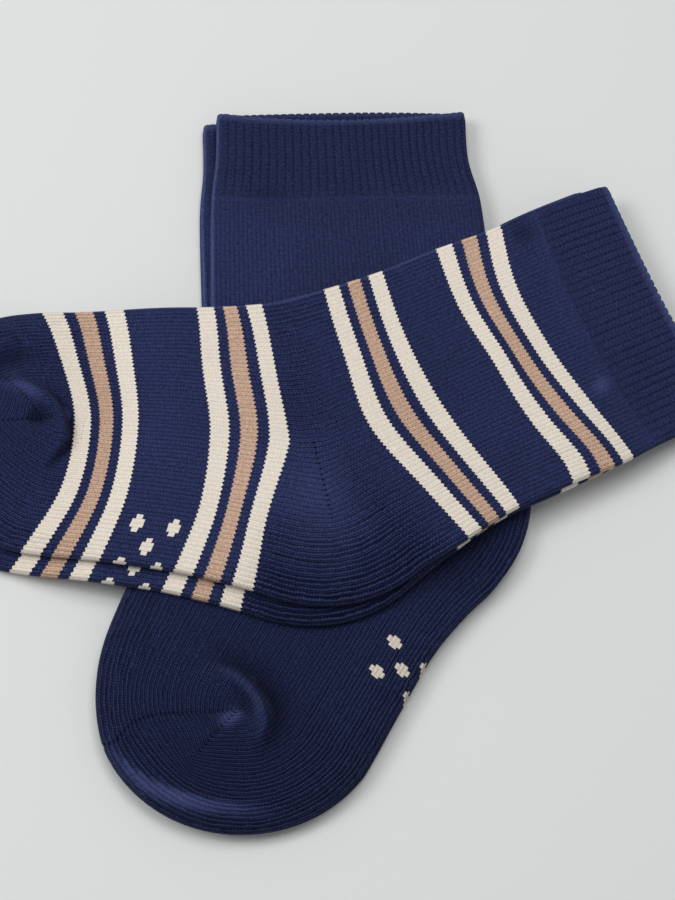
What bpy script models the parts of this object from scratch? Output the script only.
"""Two pairs of toddler's ankle socks, laid flat: a plain pair, and a striped pair across it.

Each sock is one knitted tube: a ribbed cuff, a leg, a short-row heel pocket, a foot and a
short-row toe pocket that a linked seam closes. It lies on its side, so its two layers touch
along a thin slit and its outline is the fold at the front and the fold at the back.
Lengths here are millimetres, angles are degrees, and the mesh is in metres with +Z up.
"""

import math

import bmesh
import bpy
from mathutils import Vector

MM = 0.001

# The knit
WALL = 1.4                 # one layer of combed cotton
SLIT = 0.8                 # air between the two layers of a sock that lies flat
THICK = 2 * WALL + SLIT    # a whole sock, lying flat
GAP = 0.3                  # air between one sock and the next, where they lie level
SLOPE_GAP = 0.6            # and where they slope down together
RIBS = 66                  # round the cuff
RIB_GROOVE = 0.35          # depth between two ribs
RIB_DEPTH = 25.0           # of the cuff, from its edge

# The sock's mid-line: cuff edge, tip of the heel gore, tip of the toe gore
LEG_RUN = 107.5
FOOT_RUN = 71.0
HEEL_SPREAD = 3.0          # the heel's fan of rows starts and ends this far from the gore's tip
TOE_SPREAD = 4.0           # and the toe's fan starts this far before its own
HEEL_ROUND = 1.045         # reach of the heel's fan half-way, as a share of that of its ends
TOE_ROUND = 0.93           # and the toe's

# The cuff's open mouth, on an upper sock
MOUTH_RUN = 16.0
MOUTH_RISE = 1.3
MOUTH_SAG = 3.6            # of the front layer's edge
MOUTH_CROWN = 1.2          # of the back layer's edge, the other way

# Rows of the mesh
LEG_ROWS = 9
HEEL_ROWS = 7
FOOT_ROWS = 10
TOE_ROWS = 11
OUTER_FLAT, OUTER_EDGE = 6, 2      # points from the mid-line to the fold, and round the fold
INNER_FLAT, INNER_EDGE = 3, 1

# How the striped pair comes down from the plain pair to the floor
STACK = 2 * (THICK + GAP)
FALL_START = 4.0           # outside the plain pair's outline
FALL_TO_TOE = 34.0
FALL_TO_CUFF = 58.0

# Sections of the socks as they lie: place on the mid-line, then how far the front fold and the
# back fold are from it, and how far each of these halves of a knitted row leans to the toe
COLUMNS = ("along", "front", "front_lean", "back", "back_lean")

PLAIN_LEG = (
    (0.0, 35.3, -1.5, 34.4, 0.0),
    (14.0, 36.4, -1.5, 34.0, 0.5),
    (25.0, 38.3, -1.5, 36.2, 1.0),
    (50.0, 40.2, -2.0, 37.0, -1.0),
    (74.0, 41.5, -4.0, 38.0, -3.0),
    (94.0, 43.0, -10.0, 40.5, -6.0),
    (107.5, 45.0, -18.0, 42.5, -8.0),
)
PLAIN_FOOT = (
    (0.0, 45.0, 17.0, 41.4, 8.0),
    (10.0, 44.5, 17.0, 38.5, 7.0),
    (25.0, 44.0, 16.0, 35.9, 6.0),
    (45.0, 43.0, 12.0, 35.6, 4.0),
    (60.0, 41.0, 8.0, 35.8, 3.0),
    (71.0, 39.0, 6.0, 35.6, 2.0),
)
STRIPED_LEG = (
    (0.0, 35.2, -2.5, 36.2, -6.0),
    (25.0, 36.0, -4.5, 37.2, -5.0),
    (38.0, 35.5, -4.0, 38.2, -8.0),
    (54.5, 36.5, -2.5, 37.8, -8.0),
    (73.0, 37.0, -4.5, 38.0, -9.5),
    (92.5, 39.0, -9.0, 40.6, -12.0),
    (107.5, 41.5, -16.5, 42.5, -12.0),
)
STRIPED_FOOT = (
    (0.0, 41.5, 16.0, 42.3, 6.0),
    (8.0, 39.0, 14.0, 40.7, 6.0),
    (28.0, 35.0, 11.0, 38.4, 6.0),
    (47.5, 33.0, 12.0, 38.0, 8.0),
    (63.0, 31.8, 20.0, 37.7, 14.0),
    (71.0, 30.4, 25.0, 36.3, 17.0),
)

# Where each pair lies: tip of the heel gore, the ways that leg and foot run, and the toe's seam
POSES = {
    "plain": {
        "heel": (10.0, -10.6), "leg_way": 274.5, "foot_way": 239.5,
        "leg": PLAIN_LEG, "foot": PLAIN_FOOT, "seam_lean": 46.0, "seam_reach": 35.8,
        "heel_rise": 0.0, "toe_rise": 2.2,
    },
    "striped": {
        "heel": (-7.5, -2.0), "leg_way": 206.5, "foot_way": 174.5,
        "leg": STRIPED_LEG, "foot": STRIPED_FOOT, "seam_lean": 51.0, "seam_reach": 33.0,
        "heel_rise": 1.2, "toe_rise": 2.2,
    },
}

# The socks: pair and place in it; how far the lower one is shifted, how far its leg and its foot
# are turned, and how much shorter its foot lies; and its colour
SOCKS = {
    "plain_sock_lower": (
        "plain", "lower", (-0.3, -0.6), (1.7, 0.8), 2.0, (0.020, 0.027, 0.085)),
    "plain_sock_upper": (
        "plain", "upper", (0.0, 0.0), (0.0, 0.0), 0.0, (0.024, 0.031, 0.095)),
    "striped_sock_lower": (
        "striped", "lower", (-2.5, -4.6), (2.9, -0.3), 0.0, (0.022, 0.030, 0.100)),
    "striped_sock_upper": (
        "striped", "upper", (0.0, 0.0), (0.0, 0.0), 0.0, (0.026, 0.034, 0.110)),
}

# Swellings of the upper socks' pockets: place from the gore's tip, along and to the back,
# then radius and rise; the plain pair's heel is pressed flat under the striped pair
HEEL_SWELL = (0.0, 22.0, 19.0)
TOE_SWELL = (9.0, 4.0, 26.0)

CENTRE = (-1.6, -1.9)        # middle of the whole, which the socks are placed about


def heading(angle):
    """Unit vector in the plan."""
    return Vector((math.cos(math.radians(angle)), math.sin(math.radians(angle))))


def smooth(share):
    """Soft step from 0 to 1."""
    share = min(max(share, 0.0), 1.0)
    return share * share * (3.0 - 2.0 * share)


def section(table, along):
    """Widths and leans at a place on the mid-line, on a smooth curve through the table."""
    places = [row[0] for row in table]
    span = max(i for i in range(len(table) - 1) if places[i] <= along or i == 0)
    low, high = table[span], table[span + 1]
    before, after = table[max(span - 1, 0)], table[min(span + 2, len(table) - 1)]
    run = high[0] - low[0]
    share = (along - low[0]) / run
    values = {}
    for column, name in enumerate(COLUMNS):
        slope_low = (high[column] - before[column]) / (high[0] - before[0]) * run
        slope_high = (after[column] - low[column]) / (after[0] - low[0]) * run
        rise = high[column] - low[column]
        bend = slope_low + slope_high - 2.0 * rise
        values[name] = low[column] + share * (
            slope_low + share * (rise - slope_low - bend + share * bend))
    return values


def knitted_row(middle, front_angle, front, back_angle, back, along):
    """One row of the tube: its point on the mid-line and its two halves."""
    return {"middle": middle, "front_way": heading(front_angle), "front": front,
            "back_way": heading(back_angle), "back": back, "along": along}


def table_row(pose, part, along):
    """A row of the leg or the foot, from its table."""
    way = pose[part + "_way"]
    start = -LEG_RUN if part == "leg" else 0.0
    here = section(pose[part], along)
    return knitted_row(
        Vector(pose["heel"]) + heading(way) * (start + along),
        way - 90.0 + here["front_lean"], here["front"],
        way + 90.0 - here["back_lean"], here["back"],
        along if part == "leg" else LEG_RUN + along)


def fan(first, last, count, tip_share):
    """Rows between two others that turn about a gore's tip, the first and last left out."""
    rows = []
    angles = {}
    for half in ("front", "back"):
        start = math.degrees(math.atan2(first[half + "_way"].y, first[half + "_way"].x))
        end = math.degrees(math.atan2(last[half + "_way"].y, last[half + "_way"].x))
        turn = (end - start) % 360.0
        if half == "back":
            turn -= 360.0
        if turn > 180.0:
            turn -= 360.0
        angles[half] = (start, turn)
    for step in range(1, count):
        share = step / count
        crown = 1.0 - (1.0 - tip_share) * math.sin(math.pi * share)
        rows.append(knitted_row(
            first["middle"].lerp(last["middle"], share),
            angles["front"][0] + angles["front"][1] * share,
            first["front"] + (last["front"] - first["front"]) * share,
            angles["back"][0] + angles["back"][1] * share,
            (first["back"] + (last["back"] - first["back"]) * share) * crown,
            first["along"] + (last["along"] - first["along"]) * share))
    return rows


def sock_rows(pose):
    """All rows of a sock from the end of its rib to its toe seam, which is the last one."""
    leg_end = LEG_RUN - HEEL_SPREAD
    leg = [table_row(pose, "leg", RIB_DEPTH + 1.0 + (leg_end - RIB_DEPTH - 1.0) * i / LEG_ROWS)
           for i in range(LEG_ROWS + 1)]
    foot_end = pose["foot_run"] - TOE_SPREAD
    foot = [table_row(pose, "foot", HEEL_SPREAD + (foot_end - HEEL_SPREAD) * i / FOOT_ROWS)
            for i in range(FOOT_ROWS + 1)]
    seam_angle = pose["foot_way"] - 90.0 + pose["seam_lean"]
    seam = knitted_row(
        Vector(pose["heel"]) + heading(pose["foot_way"]) * pose["foot_run"],
        seam_angle, pose["seam_reach"], seam_angle, pose["seam_reach"],
        LEG_RUN + pose["foot_run"])
    return (leg + fan(leg[-1], foot[0], HEEL_ROWS, HEEL_ROUND) + foot
            + fan(foot[-1], seam, TOE_ROWS, TOE_ROUND) + [seam])


def rib_rows(pose):
    """The rows at the cuff's edge and at the foot of its ribs."""
    return [table_row(pose, "leg", 0.0), table_row(pose, "leg", RIB_DEPTH - 1.0)]


def quarter_shares(flat, edge):
    """Places from the mid-line (0) to the fold (1), closer together round the fold."""
    fold = 0.92
    return [fold * i / flat for i in range(flat)] + [
        fold + (1.0 - fold) * i / edge for i in range(edge + 1)]


def loop_places(shares):
    """Places round a row: front fold 0, upper layer 1, back fold 2, lower layer 3."""
    rising = shares[:-1]
    falling = [1.0 - share for share in reversed(shares[1:])]
    return ([place for place in falling] + [1.0 + share for share in rising]
            + [2.0 + place for place in falling] + [3.0 + share for share in rising])


def half_section(share, reach, half_thick):
    """Distance from the mid-line and height over the middle of one layer of the flat tube."""
    straight = reach - half_thick
    run = share * (straight + half_thick * math.pi / 2.0)
    if run <= straight:
        return run, half_thick
    turn = (run - straight) / half_thick
    return straight + half_thick * math.sin(turn), half_thick * math.cos(turn)


def row_points(row, places, inset, sock, groove=0.0):
    """Points round a row; inset is 0 outside and WALL inside; groove cuts every other one in."""
    points = []
    for index, place in enumerate(places):
        quarter = int(place)
        share = place - quarter
        front = quarter in (0, 3)
        top = quarter in (0, 1)
        share = 1.0 - share if quarter in (0, 2) else share
        deep = inset + (groove if index % 2 else 0.0)
        way, reach = ((row["front_way"], row["front"]) if front
                      else (row["back_way"], row["back"]))
        out, rise = half_section(share, reach - deep, THICK / 2.0 - deep)
        spot = row["middle"] + way * out
        lift = rise / (THICK / 2.0 - deep)
        if sock["upper"]:
            mouth = max(1.0 - row["along"] / MOUTH_RUN, 0.0) ** 2
            bow = mouth * (1.0 - (out / reach) ** 2)
            slip = MOUTH_SAG if top else -MOUTH_CROWN
            spot = spot + heading(sock["leg_way"]) * (slip * bow)
            if top:
                rise += lift * (MOUTH_RISE * bow + swelling(spot, sock))
        if not top:
            rise = -rise
        points.append(Vector((spot.x, spot.y, sock["under"](spot) + THICK / 2.0 + rise)))
    return points


def swelling(spot, sock):
    """Rise of the heel and toe pockets of an upper sock."""
    rise = 0.0
    for centre, radius, height in sock["swells"]:
        far = (spot - centre).length / radius
        if far < 1.0:
            rise += height * (1.0 - far * far) ** 2
    return rise


def zipped(count):
    """Number of the point that each point of the last row is linked to along the toe seam."""
    return [min(i, (count // 2 - i) % count) for i in range(count)]


def band(mesh, low, high, low_places, high_places):
    """Faces between two rows of vertices, which may have different numbers of points."""
    count_low, count_high = len(low), len(high)
    if count_low == count_high:
        for i in range(count_low):
            j = (i + 1) % count_low
            corners = [low[i], low[j], high[j], high[i]]
            add_face(mesh, corners)
        return
    i = j = 0
    while i < count_low or j < count_high:
        next_low = low_places[i + 1] if i + 1 < count_low else 4.0 + low_places[0]
        next_high = high_places[j + 1] if j + 1 < count_high else 4.0 + high_places[0]
        at_low, at_high = low[i % count_low], high[j % count_high]
        if j == count_high or (i < count_low and next_low <= next_high):
            add_face(mesh, [at_low, low[(i + 1) % count_low], at_high])
            i += 1
        else:
            add_face(mesh, [at_low, high[(j + 1) % count_high], at_high])
            j += 1


def add_face(mesh, corners):
    """A face from its corners, where those that the toe seam joins count once."""
    kept = [corner for k, corner in enumerate(corners) if corner is not corners[k - 1]]
    if len(kept) > 2:
        mesh.faces.new(kept)


def skin(mesh, rows, places, inset, sock):
    """One surface of the body of a sock, closed along the toe seam; gives its first row."""
    loops = []
    for row in rows:
        loops.append([mesh.verts.new(point) for point in row_points(row, places, inset, sock)])
    links = zipped(len(places))
    for number, vertex in enumerate(list(loops[-1])):
        if links[number] != number:
            mesh.verts.remove(vertex)
            loops[-1][number] = loops[-1][links[number]]
    for low, high in zip(loops, loops[1:]):
        band(mesh, low, high, places, places)
    return loops[0]


def knit_sock(name, origin, sock, rows, ribs):
    """The closed solid of one sock: ribbed outside, smooth inside, joined at the cuff's edge."""
    mesh = bmesh.new()
    body_places = loop_places(quarter_shares(OUTER_FLAT, OUTER_EDGE))
    rib_places = loop_places([i / (RIBS / 2.0) for i in range(RIBS // 2 + 1)])
    inner_places = loop_places(quarter_shares(INNER_FLAT, INNER_EDGE))
    outside = skin(mesh, rows, body_places, 0.0, sock)
    cuff = [[mesh.verts.new(point) for point in row_points(row, rib_places, 0.0, sock, RIB_GROOVE)]
            for row in ribs]
    band(mesh, cuff[0], cuff[1], rib_places, rib_places)
    band(mesh, cuff[1], outside, rib_places, body_places)
    inside = skin(mesh, [ribs[0]] + rows[0:-1:2] + [rows[-1]], inner_places, WALL, sock)
    band(mesh, cuff[0], inside, rib_places, inner_places)
    bmesh.ops.recalc_face_normals(mesh, faces=mesh.faces)
    data = bpy.data.meshes.new(name)
    for vertex in mesh.verts:
        vertex.co = (vertex.co - origin) * MM
    mesh.to_mesh(data)
    mesh.free()
    thing = bpy.data.objects.new(name, data)
    thing.location = origin * MM
    bpy.context.scene.collection.objects.link(thing)
    return thing


def outline(rows):
    """Outline of a sock in the plan: down its front fold and back up its back fold."""
    front = [row["middle"] + row["front_way"] * row["front"] for row in rows]
    back = [row["middle"] + row["back_way"] * row["back"] for row in rows]
    return front + back[-2::-1]


def outside_by(spot, ring):
    """Distance of a spot outside a closed outline, or 0 inside it."""
    nearest = math.inf
    inside = False
    for start, end in zip(ring, ring[1:] + ring[:1]):
        side = end - start
        share = min(max((spot - start).dot(side) / max(side.length_squared, 1e-9), 0.0), 1.0)
        nearest = min(nearest, (spot - start - side * share).length)
        if (start.y > spot.y) != (end.y > spot.y):
            if spot.x < start.x + (spot.y - start.y) / (end.y - start.y) * (end.x - start.x):
                inside = not inside
    return 0.0 if inside else nearest


def placed(pose, shift, turns, shorter):
    """A pair's pose, moved, turned and shortened for its lower sock."""
    heel = Vector(pose["heel"]) + Vector(shift) - Vector(CENTRE)
    return {**pose, "heel": tuple(heel), "leg_way": pose["leg_way"] + turns[0],
            "foot_way": pose["foot_way"] + turns[1], "foot_run": FOOT_RUN - shorter}


def swells_of(pose):
    """Centre, radius and height of the heel and toe swellings."""
    heel, foot_way = Vector(pose["heel"]), pose["foot_way"]
    between = (pose["leg_way"] + foot_way) / 2.0
    swells = []
    for (along, back, radius), height, tip, way in (
            (HEEL_SWELL, pose["heel_rise"], heel, between),
            (TOE_SWELL, pose["toe_rise"], heel + heading(foot_way) * pose["foot_run"],
             foot_way)):
        centre = tip + heading(way) * along + heading(way + 90.0) * back
        swells.append((centre, radius, height))
    return swells


def material(name, colour):
    """Knitted cotton in its plain colour."""
    made = bpy.data.materials.new(name + "_cotton")
    made.use_nodes = True
    shader = made.node_tree.nodes["Principled BSDF"]
    shader.inputs["Base Color"].default_value = (*colour, 1.0)
    shader.inputs["Roughness"].default_value = 0.9
    shader.inputs["Metallic"].default_value = 0.0
    return made


def build():
    """Both pairs, the striped one laid across the plain one."""
    for thing in list(bpy.data.objects):
        bpy.data.objects.remove(thing, do_unlink=True)
    plain_rings = []
    for name, (pair, place, shift, turns, shorter, colour) in SOCKS.items():
        pose = placed(POSES[pair], shift, turns, shorter)
        rows = sock_rows(pose)
        ribs = rib_rows(pose)
        gap = SLOPE_GAP if pair == "striped" else GAP
        level = THICK + gap if place == "upper" else 0.0
        if pair == "plain":
            plain_rings.append(outline(ribs + rows))

        def under(spot, level=level, crossing=pair == "striped"):
            """Height of the sock's underside."""
            if not crossing:
                return level
            far = min(outside_by(spot, ring) for ring in plain_rings)
            fall = FALL_TO_TOE if spot.x < 0.0 else FALL_TO_CUFF
            return level + STACK * (1.0 - smooth((far - FALL_START) / fall))

        sock = {"upper": place == "upper", "leg_way": pose["leg_way"], "under": under,
                "swells": swells_of(pose)}
        heel = Vector(pose["heel"])
        origin = Vector((heel.x, heel.y, under(heel)))
        thing = knit_sock(name, origin, sock, rows, ribs)
        thing.data.materials.append(material(name, colour))


build()
